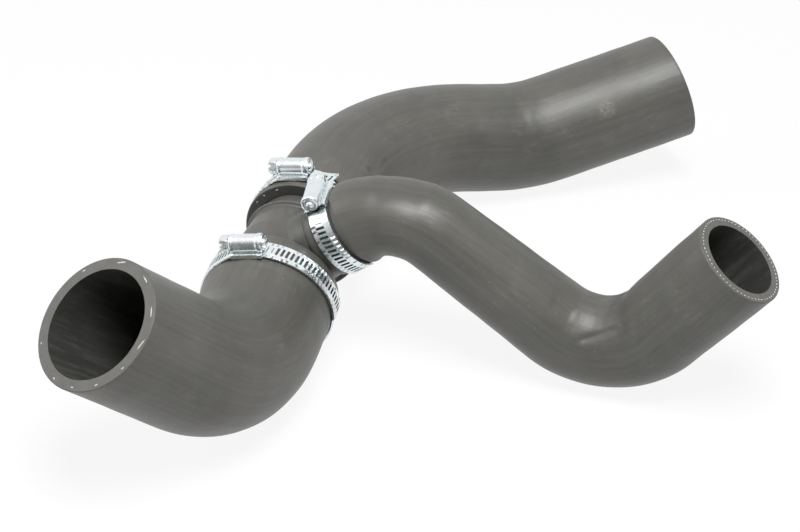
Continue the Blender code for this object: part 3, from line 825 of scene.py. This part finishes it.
def raise_seam(tee):
    """A fine ridge in the plane through the tee's run and branch, where the mould parted."""
    across = arm_direction(LONG_CORNERS).cross(arm_direction(BRANCH_CORNERS)).normalized()
    for vertex in tee.data.vertices:
        off = abs((vertex.co - TEE_CENTRE).dot(across))
        if off < SEAM_WIDTH:
            vertex.co += vertex.normal * SEAM_HEIGHT * ease(1 - off / SEAM_WIDTH)


def build_tee():
    elbow_start = ELBOW_SIZES[1] - SPIGOT_GAP
    long_start = LONG_SIZES[1]
    branch_start = BRANCH_SIZES[1] - SPIGOT_GAP
    elbow_spigot, long_spigot, branch_spigot = (
        spigot_radius(sizes) for sizes in (ELBOW_SIZES, LONG_SIZES, BRANCH_SIZES)
    )
    toward_branch = arm_direction(BRANCH_CORNERS)
    chamfer = SPIGOT_CHAMFER
    step = COLLAR_CHAMFER
    body = bar_along("tee_moulding", run_stops([
        (-ELBOW_SPIGOT_END, elbow_spigot - chamfer), (-ELBOW_SPIGOT_END + chamfer, elbow_spigot),
        (-elbow_start, elbow_spigot), (-elbow_start + TEE_TAPER, TEE_BODY_RADIUS), (0.0, TEE_BODY_RADIUS),
        (COLLAR_START, TEE_BODY_RADIUS), (COLLAR_START + step, COLLAR_RADIUS), (COLLAR_END, COLLAR_RADIUS),
        (COLLAR_END + step, TEE_BODY_RADIUS), (long_start - step, TEE_BODY_RADIUS), (long_start, long_spigot),
        (LONG_SPIGOT_END - chamfer, long_spigot), (LONG_SPIGOT_END, long_spigot - chamfer),
    ]))
    boss_end = TEE_CENTRE + toward_branch * branch_start
    boss = bar_along("boss", [(TEE_CENTRE, BOSS_RADIUS), (boss_end, BOSS_RADIUS)])
    branch_end = TEE_CENTRE + toward_branch * BRANCH_SPIGOT_END
    branch = bar_along("branch", [(TEE_CENTRE, branch_spigot), (branch_end, branch_spigot)])
    run_bore = bar_along("run_bore", run_stops([
        (-ELBOW_SPIGOT_END - TEE_WALL, elbow_spigot - TEE_WALL),
        (-ELBOW_SIZES[1] - TEE_TAPER, elbow_spigot - TEE_WALL), (-ELBOW_SIZES[1], TEE_BODY_RADIUS - TEE_WALL),
        (0.0, TEE_BODY_RADIUS - TEE_WALL), (LONG_SPIGOT_END + TEE_WALL, TEE_BODY_RADIUS - TEE_WALL),
    ]))
    branch_bore = bar_along("branch_bore", [
        (TEE_CENTRE, branch_spigot - TEE_WALL),
        (TEE_CENTRE + toward_branch * (BRANCH_SPIGOT_END + TEE_WALL), branch_spigot - TEE_WALL),
    ])
    tee = joined(body, [
        (boss, "UNION"), (branch, "UNION"), (run_bore, "DIFFERENCE"), (branch_bore, "DIFFERENCE"),
    ])
    remesh = tee.modifiers.new("Even mesh", "REMESH")
    remesh.mode = "VOXEL"
    remesh.voxel_size = TEE_VOXEL
    soften = tee.modifiers.new("Moulded corners", "SMOOTH")
    soften.factor = 0.5
    soften.iterations = 4
    tee.data = plain_mesh(tee)
    tee.modifiers.clear()
    raise_seam(tee)
    tee.data.shade_smooth()
    return tee


def tee_plastic():
    """Black glass-filled plastic: satin, slightly mottled, with faint flow lines from the mould."""
    material, tree, shader = new_material("moulded plastic")
    place = object_coordinates(tree)
    mottle = noise_in(tree, place, 70.0, 4.0)
    flow = noise_in(tree, place, 240.0, 3.0, 0.6, stretch=(1.0, 0.12, 1.0))
    grain = noise_in(tree, place, 2400.0, 2.0)
    tone = combine(
        tree, "ADD", span(tree, mottle, 0.3, 0.7, 0.0, 0.6), span(tree, flow, 0.35, 0.65, 0.0, 0.4),
    )
    tree.links.new(blend_colours(tree, tone, PLASTIC_DARK, PLASTIC_PALE), shader.inputs["Base Color"])
    shine = combine(
        tree, "ADD", span(tree, mottle, 0.3, 0.7, 0.34, 0.44), span(tree, grain, 0.3, 0.7, -0.03, 0.05),
    )
    tree.links.new(shine, shader.inputs["Roughness"])
    add_bump(tree, shader, [(mottle, 0.0003), (grain, 0.00003)])
    return material


tee = build_tee()
tee.data.materials.clear()
tee.data.materials.append(tee_plastic())
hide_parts("tee_connector")
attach(tee, "root")


# The clamps' strips. Each clamp is a worm-drive clamp of zinc-plated steel. Its strip is punched with slots
# while flat, then closes round the hose and laps over its own start, and the worm pulls at its slots.
BAND_THICKNESS = 0.0007
BAND_ROUNDING = 0.00012
BAND_EDGE_LIFT = 0.00012
BAND_ROWS = 8
BAND_STEP = math.radians(1.6)
CLAMP_GAP = 0.0003
SCREW_RADIUS = 0.0030
SLOT_PITCH = 0.0023
SLOT_LENGTH = 0.0048
SLOT_WIDTH = 0.0012
SLOT_SLANT = math.radians(9)
SLOT_ROUNDING_STEPS = 4
CELL_EDGE_SHARE = 0.9
# The first slots past the housing are narrower and shorter than the others
FAINT_SLOTS = 2.4
FAINT_WIDTH_SHARE = 0.28
FAINT_LENGTH_SHARE = 0.8
FIXED_END_SHARE = 0.35
CLIMB_ANGLE = math.radians(18)
CLIMB_MARGIN = math.radians(3)
COVERED_MARGIN = math.radians(2)
STAND_OFF_ANGLE = math.radians(22)
WELD_DISTANCE = 0.00002
SOFT_ANGLE = math.radians(35)
BROKEN_EDGE_ANGLE = math.radians(40)
ZINC_PALE = (0.82, 0.86, 0.87)
ZINC_DULL = (0.72, 0.78, 0.79)
ZINC_DIRT = (0.055, 0.058, 0.055)
# Painted shade for the strip where it runs under its own tail, so that the slots over it look dark
PAINTED_SHADE_DARK = (0.030, 0.032, 0.032)
PAINTED_SHADE_PALE = (0.085, 0.090, 0.090)
# setback is from the hose's end, side is the way the housing looks, and the angles are in degrees.
# faces_tee turns the clamp round, slot_shift moves the slots off the strip's middle, stand_off lifts the
# tail off the hose, and cut_open is for a tail that was cut through a slot.
Clamp = namedtuple(
    "Clamp",
    "letter corners sizes setback side skew entry tail faces_tee band_width housing_length slot_shift "
    "stand_off cut_open",
)
CLAMPS = [
    Clamp(
        letter="a", corners=ELBOW_CORNERS, sizes=ELBOW_SIZES, setback=ELBOW_CLAMP_MIDDLE,
        side=(-0.242, -0.080, 0.967), skew=2.7, entry=60, tail=96, faces_tee=False,
        band_width=2 * BAND_HALF_WIDTH, housing_length=0.0150, slot_shift=0.0004, stand_off=0.0,
        cut_open=False,
    ),
    Clamp(
        letter="b", corners=LONG_CORNERS, sizes=LONG_SIZES, setback=LONG_CLAMP_MIDDLE,
        side=(-0.191, 0.052, 0.980), skew=0.0, entry=40, tail=32, faces_tee=True,
        band_width=2 * BAND_HALF_WIDTH, housing_length=0.0150, slot_shift=0.0, stand_off=0.0065,
        cut_open=True,
    ),
    Clamp(
        letter="c", corners=BRANCH_CORNERS, sizes=BRANCH_SIZES, setback=BRANCH_CLAMP_MIDDLE,
        side=(-0.631, 0.015, 0.775), skew=0.0, entry=60, tail=130, faces_tee=True,
        band_width=2 * BRANCH_BAND_HALF_WIDTH, housing_length=0.0165, slot_shift=-0.0006, stand_off=0.0,
        cut_open=False,
    ),
]


def clamp_place(clamp):
    """Z along the hose, X through the housing and Y towards the screw's head."""
    direction = arm_direction(clamp.corners)
    z_axis = -direction if clamp.faces_tee else direction
    side = Vector(clamp.side)
    x_axis = (side - z_axis * side.dot(z_axis)).normalized()
    turn = Matrix((x_axis, z_axis.cross(x_axis), z_axis)).transposed().to_4x4()
    centre = TEE_CENTRE + direction * (clamp.sizes[1] + clamp.setback)
    return Matrix.Translation(centre) @ turn @ Matrix.Rotation(-math.radians(clamp.skew), 4, "Y")


def clamp_radii(clamp):
    """Radii of the seat, of the strip on the hose, of the strip over itself and of the screw's axis."""
    seat = clamp.sizes[2] + clamp.band_width / 2 * math.tan(math.radians(clamp.skew))
    inner = seat + CLAMP_GAP + BAND_THICKNESS / 2
    outer = inner + BAND_THICKNESS + CLAMP_GAP
    return seat, inner, outer, outer + BAND_THICKNESS / 2 + CLAMP_GAP + SCREW_RADIUS


def slot_outline(width, length, offset):
    """Points round a slanted slot with round ends, as (along the strip, across it) from its cell's middle."""
    points = []
    for end in (1, -1):
        for step in range(SLOT_ROUNDING_STEPS + 1):
            turn = math.pi * step / SLOT_ROUNDING_STEPS
            x = end * width / 2 * math.cos(turn)
            y = end * ((length - width) / 2 + width / 2 * math.sin(turn))
            points.append((
                x * math.cos(SLOT_SLANT) - y * math.sin(SLOT_SLANT),
                x * math.sin(SLOT_SLANT) + y * math.cos(SLOT_SLANT) + offset,
            ))
    return points


def cell_border(points, width):
    """For each slot point, a point on the edge of its cell: the cell's sides, its ends and its corners."""
    border = []
    half = SLOT_ROUNDING_STEPS // 2
    for number, (_, y) in enumerate(points):
        step = number % (SLOT_ROUNDING_STEPS + 1)
        end = 1 if number <= SLOT_ROUNDING_STEPS else -1
        if step == half:
            border.append((0.0, end * width / 2))
            continue
        near_side = (step < half) == (end > 0)
        corner = abs(step - half) == 1
        border.append((
            SLOT_PITCH / 2 if near_side else -SLOT_PITCH / 2,
            end * width / 2 if corner else y * CELL_EDGE_SHARE,
        ))
    return border


def finished_object(name, work):
    mesh = bpy.data.meshes.new(name)
    work.to_mesh(mesh)
    work.free()
    item = bpy.data.objects.new(name, mesh)
    bpy.context.scene.collection.objects.link(item)
    return item


def thicken(item, thickness, rounding):
    """Gives a folded sheet its thickness, breaks its edges, and keeps its flats flat in the shading."""
    wall = item.modifiers.new("Sheet", "SOLIDIFY")
    wall.thickness = thickness
    wall.offset = 0.0
    edge = item.modifiers.new("Broken edges", "BEVEL")
    edge.width = rounding
    edge.segments = 2
    edge.limit_method = "ANGLE"
    edge.angle_limit = BROKEN_EDGE_ANGLE
    item.data = plain_mesh(item)
    item.modifiers.clear()
    item.data.shade_smooth()
    item.data.set_sharp_from_angle(angle=SOFT_ANGLE)
    flats = item.modifiers.new("Flat faces", "WEIGHTED_NORMAL")
    flats.keep_sharp = True
    item.data = plain_mesh(item)
    item.modifiers.clear()


def strip_object(clamp):
    """The strip: drawn flat as cells with slots in them, wrapped round the hose, and given its thickness."""
    _, inner, outer, _ = clamp_radii(clamp)
    fixed = math.asin(FIXED_END_SHARE * clamp.housing_length / outer)
    tail = math.radians(clamp.tail)
    total = 2 * math.pi + 2 * fixed + tail
    climb_start = 2 * math.pi - CLIMB_MARGIN - CLIMB_ANGLE
    covered_end = 2 * fixed + tail + COVERED_MARGIN
    cell_turn = SLOT_PITCH / outer
    slots_start = 2 * math.pi - math.radians(clamp.entry)
    slot_count = int((total - slots_start) / cell_turn)
    housing_exit = 2 * math.pi + fixed + clamp.housing_length / 2 / outer
    width = clamp.band_width

    def wrapped(gone, across):
        rise = ease((gone - climb_start) / CLIMB_ANGLE) * (outer - inner)
        lift = clamp.stand_off * max(0.0, 1 - (total - gone) / STAND_OFF_ANGLE) ** 2
        radius = inner + rise + lift + BAND_EDGE_LIFT * (abs(across) / (width / 2)) ** 6
        angle = fixed - gone
        return Vector((radius * math.cos(angle), radius * math.sin(angle), across))

    work = bmesh.new()
    rows = [-width / 2 + width * row / BAND_ROWS for row in range(BAND_ROWS + 1)]

    def plain_cells(begin, end):
        count = max(1, round((end - begin) / BAND_STEP))
        turns = [begin + (end - begin) * column / count for column in range(count + 1)]
        knots = [[work.verts.new(wrapped(turn, across)) for across in rows] for turn in turns]
        for turn, before, after in zip(turns, knots, knots[1:]):
            for row in range(BAND_ROWS):
                face = work.faces.new((before[row], after[row], after[row + 1], before[row + 1]))
                # the stretch under the tail takes the second material, which is painted shade
                face.material_index = 1 if turn < covered_end else 0

    plain_cells(0.0, covered_end)
    plain_cells(covered_end, slots_start)
    for number in range(slot_count):
        middle = slots_start + (number + 0.5) * cell_turn
        faint = 0 <= (middle - housing_exit) / cell_turn < FAINT_SLOTS
        slot = slot_outline(
            SLOT_WIDTH * (FAINT_WIDTH_SHARE if faint else 1.0),
            SLOT_LENGTH * (FAINT_LENGTH_SHARE if faint else 1.0),
            -clamp.slot_shift,
        )
        inside = [work.verts.new(wrapped(middle + x / outer, y)) for x, y in slot]
        outside = [work.verts.new(wrapped(middle + x / outer, y)) for x, y in cell_border(slot, width)]
        for point in range(len(slot)):
            other = (point + 1) % len(slot)
            # a strip cut through its last slot keeps only the half with the slot's near side
            far_side = slot[point][0] > 0 and slot[other][0] > 0
            if not (clamp.cut_open and number == slot_count - 1 and far_side):
                work.faces.new((outside[point], outside[other], inside[other], inside[point]))
    if not clamp.cut_open:
        plain_cells(slots_start + slot_count * cell_turn, total)
    bmesh.ops.remove_doubles(work, verts=work.verts, dist=WELD_DISTANCE)
    bmesh.ops.recalc_face_normals(work, faces=work.faces)
    item = finished_object("clamp_%s_strip" % clamp.letter, work)
    thicken(item, BAND_THICKNESS, BAND_ROUNDING)
    return item


def zinc(name, wear_scale, dirt):
    """Bright zinc plate on rolled steel: crystal mottle, fine brushing, and grey dirt in patches."""
    material, tree, shader = new_material(name)
    place = object_coordinates(tree)
    mottle = noise_in(tree, place, 420.0, 4.0, 0.6)
    clouds = noise_in(tree, place, wear_scale, 3.0)
    brushing = noise_in(tree, place, 2200.0, 3.0, 0.7, stretch=(1.0, 1.0, 0.08))
    tone = combine(
        tree, "ADD", span(tree, mottle, 0.32, 0.68, 0.0, 0.45), span(tree, clouds, 0.35, 0.65, 0.0, 0.55),
    )
    colour = blend_colours(tree, tone, ZINC_DULL, ZINC_PALE)
    patches = span(tree, noise_in(tree, place, 160.0, 5.0, 0.7), 0.56, 0.74)
    soil = combine(tree, "MULTIPLY", patches, dirt)
    tree.links.new(blend_colours(tree, soil, colour, ZINC_DIRT), shader.inputs["Base Color"])
    shader.inputs["Metallic"].default_value = 1.0
    shine = combine(
        tree, "ADD", span(tree, mottle, 0.3, 0.7, 0.20, 0.32), span(tree, brushing, 0.3, 0.7, -0.03, 0.06),
    )
    shine = combine(tree, "ADD", shine, combine(tree, "MULTIPLY", soil, 0.4))
    tree.links.new(shine, shader.inputs["Roughness"])
    add_bump(tree, shader, [(mottle, 0.000002), (brushing, 0.0000008)])
    return material


def painted_shade_zinc():
    """The strip where it runs under its own tail: painted shade, a near-black dull zinc that darkens the
    slots beyond the shadow the lamps give.
    """
    material, tree, shader = new_material("painted shade zinc")
    place = object_coordinates(tree)
    blotches = noise_in(tree, place, 300.0, 4.0, 0.7)
    colour = blend_colours(tree, span(tree, blotches, 0.35, 0.65), PAINTED_SHADE_DARK, PAINTED_SHADE_PALE)
    tree.links.new(colour, shader.inputs["Base Color"])
    tree.links.new(span(tree, blotches, 0.3, 0.7, 0.55, 0.75), shader.inputs["Roughness"])
    add_bump(tree, shader, [(blotches, 0.00004)])
    return material


def add_clamp_piece(item, clamp, kind, metals):
    item.matrix_world = clamp_place(clamp)
    for metal in metals:
        item.data.materials.append(metal)
    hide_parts("clamp_%s_%s" % (clamp.letter, kind))
    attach(item, "root")


# The second metal is painted shade for the strip under its own tail
STRIP_METALS = (zinc("strip zinc", 90.0, 0.14), painted_shade_zinc())
for clamp in CLAMPS:
    add_clamp_piece(strip_object(clamp), clamp, "band", STRIP_METALS)


# The clamps' housings. Each is pressed from one zinc-plated sheet: its sides come up past the strip and close
# over the worm as a barrel, with a rolled lip at each end and a domed plate that shuts it round the worm.
HOUSING_SHEET = 0.0008
HOUSING_ROUNDING = 0.00018
HOUSING_FOLD = 0.0005
HOUSING_FOLD_SOFTNESS = 0.3
BARREL_STEPS = 28
LIP_HEIGHT = 0.00030
LIP_FADE = 0.0007
HEAD_LIP_LENGTH = 0.0016
NOSE_LIP_LENGTH = 0.0024
END_DROOP = 0.0003
END_DROOP_LENGTH = 0.0006
# Where the sheet is bent, as distances from the housing's two ends
NOSE_END_STOPS = (0.0, 0.0005, 0.0012, 0.0018, 0.0022, 0.0026, 0.0040)
HEAD_END_STOPS = (0.0030, 0.0020, 0.0016, 0.0012, 0.0008, 0.0003, 0.0)
# The domed plate's section, as (radius, how far past the housing's end)
END_PLATE = (
    (0.0021, -0.0011), (0.0035, -0.0011), (0.0036, -0.0004),
    (0.0034, 0.0001), (0.0028, 0.0003), (0.0021, 0.0002),
)
TURNED_SIDES = 48


def housing_section(clamp):
    """The housing's section as (across the strip, out from the hose), with soft corners at its folds."""
    seat_radius, _, outer, axis = clamp_radii(clamp)
    half = clamp.band_width / 2 + CLAMP_GAP + HOUSING_SHEET / 2
    foot = seat_radius + CLAMP_GAP + HOUSING_SHEET / 2
    seat = outer + BAND_THICKNESS / 2 + CLAMP_GAP + HOUSING_SHEET / 2
    barrel = SCREW_RADIUS + CLAMP_GAP + HOUSING_SHEET / 2
    waist = math.asin((axis - seat) / barrel)
    soft = HOUSING_FOLD * HOUSING_FOLD_SOFTNESS
    side = [
        (-half, foot), (-half, seat - HOUSING_FOLD),
        (-half + soft, seat - soft), (-half + HOUSING_FOLD, seat),
    ]
    section = list(side)
    for step in range(BARREL_STEPS + 1):
        angle = math.pi + waist - (math.pi + 2 * waist) * step / BARREL_STEPS
        section.append((barrel * math.cos(angle), axis + barrel * math.sin(angle)))
    return section + [(-x, y) for x, y in reversed(side)]


def round_point(radius, axis, along, side):
    turn = 2 * math.pi * side / TURNED_SIDES
    return axis + radius * math.cos(turn), along, radius * math.sin(turn)


def turned(work, profile, axis, closed=False):
    """A turned shape round the screw's axis, from (radius, along) points; a radius of 0 closes it."""
    rings = []
    for radius, along in profile:
        if radius == 0:
            rings.append([work.verts.new((axis, along, 0))])
        else:
            places = [round_point(radius, axis, along, side) for side in range(TURNED_SIDES)]
            rings.append([work.verts.new(place) for place in places])
    pairs = list(zip(rings, rings[1:]))
    if closed:
        pairs.append((rings[-1], rings[0]))
    for before, after in pairs:
        for side in range(TURNED_SIDES):
            other = (side + 1) % TURNED_SIDES
            corners = [before[side % len(before)], before[other % len(before)]]
            corners += [after[other % len(after)], after[side % len(after)]]
            kept = [corner for number, corner in enumerate(corners) if corner not in corners[:number]]
            work.faces.new(kept)


def housing_object(clamp):
    """The pressed housing: its section drawn out, swelling into a lip at each end, with the domed plates."""
    _, _, _, axis = clamp_radii(clamp)
    section = housing_section(clamp)
    half = clamp.housing_length / 2
    stops = [-half + stop for stop in NOSE_END_STOPS] + [0.0] + [half - stop for stop in HEAD_END_STOPS]
    work = bmesh.new()
    knots = []
    for along in stops:
        lip_length = NOSE_LIP_LENGTH if along < 0 else HEAD_LIP_LENGTH
        lip = LIP_HEIGHT * ease((abs(along) - (half - lip_length)) / LIP_FADE)
        droop = END_DROOP * ease((abs(along) - (half - END_DROOP_LENGTH)) / END_DROOP_LENGTH)
        row = []
        for x, y in section:
            away = Vector((x, y - axis, 0))
            if y > axis - SCREW_RADIUS:
                away = away.normalized() * (away.length + lip - droop)
            row.append(work.verts.new((axis + away.y, along, away.x)))
        knots.append(row)
    for before, after in zip(knots, knots[1:]):
        for point in range(len(section) - 1):
            work.faces.new((before[point], before[point + 1], after[point + 1], after[point]))
    bmesh.ops.recalc_face_normals(work, faces=work.faces)
    item = finished_object("clamp_%s_pressing" % clamp.letter, work)
    thicken(item, HOUSING_SHEET, HOUSING_ROUNDING)
    work = bmesh.new()
    work.from_mesh(item.data)
    for end in (-1, 1):
        turned(work, [(radius, end * (half + past)) for radius, past in END_PLATE], axis, closed=True)
    bmesh.ops.recalc_face_normals(work, faces=work.faces)
    work.to_mesh(item.data)
    work.free()
    item.data.set_sharp_from_angle(angle=SOFT_ANGLE)
    return item


HOUSING_ZINC = zinc("housing zinc", 130.0, 0.08)
for clamp in CLAMPS:
    add_clamp_piece(housing_object(clamp), clamp, "housing", (HOUSING_ZINC,))


# The clamps' screws. Each is a zinc-plated worm that turns in its housing: a coarse thread inside, a round
# nose at one end, and at the other a neck and a chamfered hexagon head with a slot for a screwdriver.
THREAD_PITCH = 0.0021
THREAD_DEPTH = 0.0006
THREAD_STEEPNESS = 2.2
THREAD_STEPS = 110
THREAD_SETBACK = 0.0015
THREAD_FADE = 0.0008
SHANK_RADIUS = 0.0020
SHANK_OVERLAP = 0.0001
# The nose's section, as (radius, how far past the housing's end)
NOSE = ((0.0, 0.0018), (0.0007, 0.00175), (0.0013, 0.0015), (0.0018, 0.0010), (SHANK_RADIUS, 0.0003))
NECK_LENGTH = 0.0011
HEAD_START = 0.0008
HEAD_END = 0.0051
HEAD_FLATS = 0.0068
HEAD_SIDES = 72
# The head's turned chamfers, as (distance from its inner or outer face, radius)
INNER_CHAMFER = ((0.0, 0.0032), (0.0003, 0.0037), (0.0006, 0.0040))
OUTER_CHAMFER = ((0.0012, 0.0040), (0.0008, 0.0038), (0.0004, 0.0034), (0.0001, 0.0028), (0.0, 0.0020))
DRIVE_SLOT = (0.0012, 0.0036, 0.0120)
DRIVE_SLOT_TURN = 0.5
SCREW_SOFT_ANGLE = math.radians(32)


def join_rings(work, rings):
    """Faces between rings of equal size, with the first and the last ring closed."""
    for before, after in zip(rings, rings[1:]):
        for side in range(len(before)):
            other = (side + 1) % len(before)
            work.faces.new((before[side], before[other], after[other], after[side]))
    work.faces.new(list(reversed(rings[0])))
    work.faces.new(rings[-1])


def add_thread(work, axis, reach):
    rings = []
    for step in range(THREAD_STEPS + 1):
        along = -reach + 2 * reach * step / THREAD_STEPS
        fade = ease((reach - abs(along)) / THREAD_FADE)
        ring = []
        for side in range(TURNED_SIDES):
            phase = (along / THREAD_PITCH - side / TURNED_SIDES) % 1.0
            crest = ease(min(1.0, THREAD_STEEPNESS * (1 - abs(2 * phase - 1))))
            radius = SCREW_RADIUS - THREAD_DEPTH + THREAD_DEPTH * crest * fade
            ring.append(work.verts.new(round_point(radius, axis, along, side)))
        rings.append(ring)
    join_rings(work, rings)


def add_head(work, axis, half):
    places = [(half + HEAD_START + from_inner, limit) for from_inner, limit in INNER_CHAMFER]
    places += [(half + HEAD_END - from_outer, limit) for from_outer, limit in OUTER_CHAMFER]
    rings = []
    for along, limit in places:
        ring = []
        for side in range(HEAD_SIDES):
            turn = 2 * math.pi * side / HEAD_SIDES
            off_flat = (turn + math.pi / 6) % (math.pi / 3) - math.pi / 6
            radius = min(HEAD_FLATS / 2 / math.cos(off_flat), limit)
            ring.append(work.verts.new((axis + radius * math.cos(turn), along, radius * math.sin(turn))))
        rings.append(ring)
    join_rings(work, rings)


def screw_object(clamp):
    """The worm: a threaded body, a round nose, a neck, and a chamfered hexagon head with a drive slot."""
    _, _, _, axis = clamp_radii(clamp)
    half = clamp.housing_length / 2
    thread_end = half - THREAD_SETBACK
    shank_end = thread_end - SHANK_OVERLAP
    work = bmesh.new()
    add_thread(work, axis, thread_end)
    nose = [(radius, -half - past) for radius, past in NOSE]
    turned(work, nose + [(SHANK_RADIUS, -shank_end), (0.0, -shank_end)], axis)
    turned(work, [
        (0.0, shank_end), (SHANK_RADIUS, shank_end),
        (SHANK_RADIUS, half + NECK_LENGTH), (0.0, half + NECK_LENGTH),
    ], axis)
    add_head(work, axis, half)
    bmesh.ops.recalc_face_normals(work, faces=work.faces)
    name = "clamp_%s_worm" % clamp.letter
    item = finished_object(name, work)
    place = Matrix.Translation((axis, half + HEAD_END, 0)) @ Matrix.Rotation(DRIVE_SLOT_TURN, 4, "Y")
    slot = bmesh.new()
    bmesh.ops.create_cube(slot, size=1.0, matrix=place @ Matrix.Diagonal((*DRIVE_SLOT, 1.0)))
    joined(item, [(finished_object(name + "_slot", slot), "DIFFERENCE")])
    item.data.shade_smooth()
    item.data.set_sharp_from_angle(angle=SCREW_SOFT_ANGLE)
    return item


SCREW_ZINC = zinc("screw zinc", 200.0, 0.25)
for clamp in CLAMPS:
    add_clamp_piece(screw_object(clamp), clamp, "screw", (SCREW_ZINC,))
